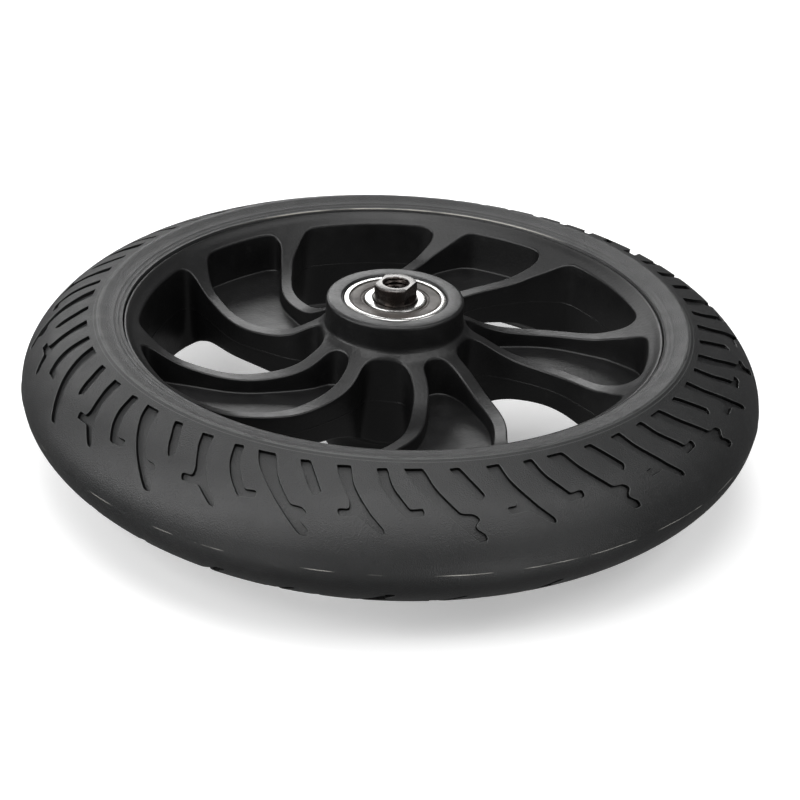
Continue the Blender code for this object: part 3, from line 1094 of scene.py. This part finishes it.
def make_rings(side_name, height):
    seat_radius, seat_height = SEAL_SEAT
    outer = mirrored(OUTER_RING_EDGE)
    outer += [(seat_radius, -seat_height), (OUTER_LAND, -seat_height)]
    outer += reversed(race_arc(1, OUTER_LAND))
    outer += [(OUTER_LAND, seat_height), (seat_radius, seat_height)]
    inner = [*INNER_RING_EDGE, *race_arc(-1, INNER_LAND)]
    inner += [(radius, -z) for radius, z in reversed(INNER_RING_EDGE)]
    inner += INNER_RING_BORE
    for name, profile, body in (("outer", outer, "wheel"), ("inner", inner, "axle_set")):
        patch = turned(profile, BEARING_STEPS, height)
        node = f"{side_name}_{name}_ring"
        piece(f"{side_name}_{name}_race", patch, STEEL, body, [node])


def make_seals(side_name, side, height):
    for place, facing in (("outboard", 1), ("inboard", -1)):
        section = [(r, z * side * facing) for r, z in SEAL_SECTION]
        patch = turned(section, BEARING_STEPS, height)
        node = f"{side_name}_{place}_seal"
        piece(f"{node}_disc", patch, SEAL, "wheel", [node])


def make_balls(side_name, height):
    balls = Patch()
    for k in range(BALL_COUNT):
        ball = bmesh.new()
        bmesh.ops.create_icosphere(ball, subdivisions=3, radius=BALL_RADIUS)
        places = np.array([v.co[:] for v in ball.verts])
        ball.verts.index_update()
        faces = [[v.index for v in face.verts] for face in ball.faces]
        ball.free()
        x, y = polar(BALL_PITCH_RADIUS, 360 * k / BALL_COUNT)
        balls.add(places + (x, y, height), faces)
    nodes = [f"{side_name}_ball_{k + 1}" for k in range(BALL_COUNT)]
    piece(f"{side_name}_balls", balls, STEEL, f"{side_name}_ball_set", nodes)


def make_bearing(side_name, side):
    height = side * BEARING_CENTRE
    make_rings(side_name, height)
    make_seals(side_name, side, height)
    make_balls(side_name, height)
    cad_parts[f"{side_name}_cage"].data.materials.clear()
    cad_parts[f"{side_name}_cage"].data.materials.append(NYLON)


def make_spacer():
    patch = turned(softened(SPACER_CORNERS, SPACER_ROUND), SPACER_STEPS)
    piece("spacer_tube", patch, SPACER, "axle_set", ["bearing_spacer"])


def thread_radius(angle, height):
    """Radius of the tapped bore at an angle in radians and a distance from its end."""
    turn = (height / THREAD_PITCH - angle / math.tau) % 1.0
    tooth = np.clip(1.35 * (1 - np.abs(2 * turn - 1)) - 0.12, 0, 1)
    fade = np.clip((THREAD_LENGTH - height) / THREAD_RUNOUT, 0, 1)
    return THREAD_MINOR + THREAD_DEPTH * tooth * fade


def make_axle():
    corner = math.degrees(math.acos(FLAT_HALF_WIDTH / AXLE_RADIUS))
    corners = [FLAT_NORMAL + turn + side * corner for turn in (0, 180) for side in (-1, 1)]
    even = np.arange(AXLE_STEPS) * 360 / AXLE_STEPS + 0.01
    angles = np.radians(sorted({*(np.array(corners) % 360), *even}))
    ring = np.stack([np.cos(angles), np.sin(angles)], 1)
    from_flat = np.abs(np.cos(angles - math.radians(FLAT_NORMAL)))
    limit = FLAT_HALF_WIDTH / np.maximum(from_flat, 1e-3)

    def row(radius, z, side, flats=False):
        radius = np.minimum(radius, limit) if flats else np.broadcast_to(radius, len(angles))
        return np.column_stack([radius[:, None] * ring, np.full(len(angles), side * z)])

    def outside(side):
        rows = [row(AXLE_FACE_RADIUS, AXLE_END, side, True)]
        rows += [row(AXLE_RADIUS - c, AXLE_END - d, side, True) for c, d in AXLE_CHAMFER]
        rows += [row(AXLE_RADIUS, FLAT_START, side, True), row(AXLE_RADIUS, FLAT_START, side)]
        return rows + [row(AXLE_RADIUS, AXLE_PLAIN_END, side)]

    def bore(side):
        rows = [row(BORE_MOUTH, AXLE_END, side)]
        step = THREAD_PITCH / ROWS_PER_TURN
        for depth in np.arange(THREAD_START, THREAD_LENGTH + 0.3, step):
            wide = np.maximum(thread_radius(side * angles, depth), BORE_COUNTERSINK - depth)
            rows.append(row(wide, AXLE_END - depth, side))
        return rows

    patch = Patch()
    patch.band(bore(1)[::-1] + outside(1) + outside(-1)[::-1] + bore(-1) + bore(1)[-1:])
    piece("hollow_axle", patch, OXIDE, "axle_set", ["axle"], sharp=AXLE_SHARP)


make_tyre()
make_rim()
for side_name, side_sign in SIDES:
    make_bearing(side_name, side_sign)
make_spacer()
make_axle()


# ---------------------------------------------------------------- stage, lights and camera

FLOOR_DROP = 0.0002
FLOOR_HALF_SIDE = 30.0
FLOOR_GLOW = (0.45, 1.6, 0.35, 1.0)  # from and to these radii in m, from and to these strengths
AMBIENT = 0.15
BACKDROP = 0.95

# Each softbox: name, azimuth and elevation in degrees, size in m, power in W.
SOFTBOXES = (
    ("top_softbox", 0, 90, (0.8, 0.8), 3.2),
    ("front_high_softbox", 270, 68, (0.6, 0.6), 5.6),
    ("back_high_softbox", 96, 68, (0.6, 0.6), 3.4),
    ("left_high_softbox", 180, 68, (0.6, 0.6), 1.9),
    ("front_left_softbox", 225, 45, (0.7, 0.5), 6.2),
    ("front_left_low_softbox", 225, 20, (0.9, 0.5), 4.6),
    ("back_left_softbox", 135, 45, (0.8, 0.6), 1.5),
    ("back_left_low_softbox", 130, 20, (0.8, 0.5), 3.2),
    ("back_low_softbox", 97, 25, (0.7, 0.5), 5.0),
    ("left_low_softbox", 190, 16, (0.8, 0.4), 6.5),
    ("front_right_low_softbox", 318, 8, (0.8, 0.4), 2.2),
    ("right_softbox", 0, 45, (0.8, 0.6), 2.6),
    ("front_right_softbox", 322, 52, (0.7, 0.5), 4.6),
)
# Light off the pale table, which reaches only the tyre.
TABLE_LIGHTS = (
    ("table_left_light", 235, -26, (0.9, 0.5), 3.5),
    ("table_front_light", 275, 2, (0.9, 0.3), 1.0),
    ("table_right_light", 305, -26, (0.9, 0.5), 4.5),
)
LIGHT_DISTANCE = 1.6

# The photograph's view: degrees, metres and millimetres of lens.
CAMERA_ELEVATION = 26.08
CAMERA_ROLL = -2.652
CAMERA_AIM_RIGHT = -0.185
CAMERA_AIM_UP = 2.964
CAMERA_TARGET = (0, 0, 0.0165)
CAMERA_DISTANCE = 0.4562
CAMERA_LENS = 75.56
CAMERA_SENSOR = 36.0


def make_floor():
    """A pale floor just under the wheel that glows white far from it."""
    low = cad_box[0][2] - FLOOR_DROP
    side = FLOOR_HALF_SIDE
    corners = [(-side, -side, low), (side, -side, low), (side, side, low), (-side, side, low)]
    mesh = bpy.data.meshes.new("studio_floor")
    mesh.from_pydata(corners, [], [(0, 1, 2, 3)])
    surface = Surface("studio_floor", FLOOR_TONES[0], 0.9)
    surface.colour(surface.mix(surface.noise(3.0, 2.0), *FLOOR_TONES))
    surface.shader.inputs["Emission Color"].default_value = WHITE
    glow = surface.span(surface.radius(), *FLOOR_GLOW)
    surface.put(surface.shader.inputs["Emission Strength"], glow)
    mesh.materials.append(surface.material)
    floor = bpy.data.objects.new("studio_floor", mesh)
    bpy.context.scene.collection.objects.link(floor)
    floor.visible_diffuse = False
    floor.visible_glossy = False
    floor.visible_shadow = False


def softbox(name, azimuth, elevation, size, power):
    """A soft light that faces the wheel from a direction in degrees."""
    light = bpy.data.lights.new(name, "AREA")
    light.shape = "RECTANGLE"
    light.size, light.size_y = size
    light.energy = power
    made = bpy.data.objects.new(name, light)
    rise = math.radians(elevation)
    x, y = polar(LIGHT_DISTANCE * math.cos(rise), azimuth)
    made.location = (x, y, LIGHT_DISTANCE * math.sin(rise))
    made.rotation_euler = (-made.location).to_track_quat("-Z", "Y").to_euler()
    bpy.context.scene.collection.objects.link(made)
    return made


def make_lights():
    for setup in SOFTBOXES:
        softbox(*setup)
    tyre_only = bpy.data.collections.new("tyre_only")
    tyre_only.objects.link(bpy.data.objects["solid_tyre"])
    for setup in TABLE_LIGHTS:
        softbox(*setup).light_linking.receiver_collection = tyre_only


def make_camera():
    """The camera of the photograph, which looks past the target by the two aim angles."""
    elevation, roll = math.radians(CAMERA_ELEVATION), math.radians(CAMERA_ROLL)
    forward = Vector((0, math.cos(elevation), -math.sin(elevation)))
    right = Vector((1, 0, 0))
    up = right.cross(forward)
    across = math.cos(roll) * right - math.sin(roll) * up
    upward = math.sin(roll) * right + math.cos(roll) * up
    base = Matrix((across, upward, forward)).transposed()
    aim_right, aim_up = math.radians(CAMERA_AIM_RIGHT), math.radians(CAMERA_AIM_UP)
    aim = Vector((math.tan(aim_right), math.tan(aim_up), 1.0)).normalized()
    axes = base @ aim.rotation_difference(Vector((0, 0, 1))).to_matrix()
    turn = Matrix((axes.col[0], axes.col[1], -axes.col[2])).transposed().to_4x4()
    camera = bpy.data.objects.new("photo_camera", bpy.data.cameras.new("photo_camera"))
    camera.data.sensor_width = CAMERA_SENSOR
    camera.data.lens = CAMERA_LENS
    camera.data.clip_start = 0.01
    place = Vector(CAMERA_TARGET) - forward * CAMERA_DISTANCE
    camera.matrix_world = Matrix.Translation(place) @ turn
    bpy.context.scene.collection.objects.link(camera)
    bpy.context.scene.camera = camera


def make_world():
    """Dim white light all round, which the camera itself sees as a bright backdrop."""
    world = bpy.data.worlds.new("studio")
    world.use_nodes = True
    nodes, links = world.node_tree.nodes, world.node_tree.links
    background = nodes["Background"]
    background.inputs[0].default_value = WHITE
    seen = nodes.new("ShaderNodeLightPath").outputs["Is Camera Ray"]
    lift = nodes.new("ShaderNodeMapRange")
    for socket, setting in zip(list(lift.inputs)[3:5], (AMBIENT, BACKDROP)):
        socket.default_value = setting
    links.new(seen, lift.inputs[0])
    links.new(lift.outputs[0], background.inputs[1])
    bpy.context.scene.world = world


make_floor()
make_lights()
make_camera()
make_world()
bpy.context.scene.view_settings.view_transform = "Standard"
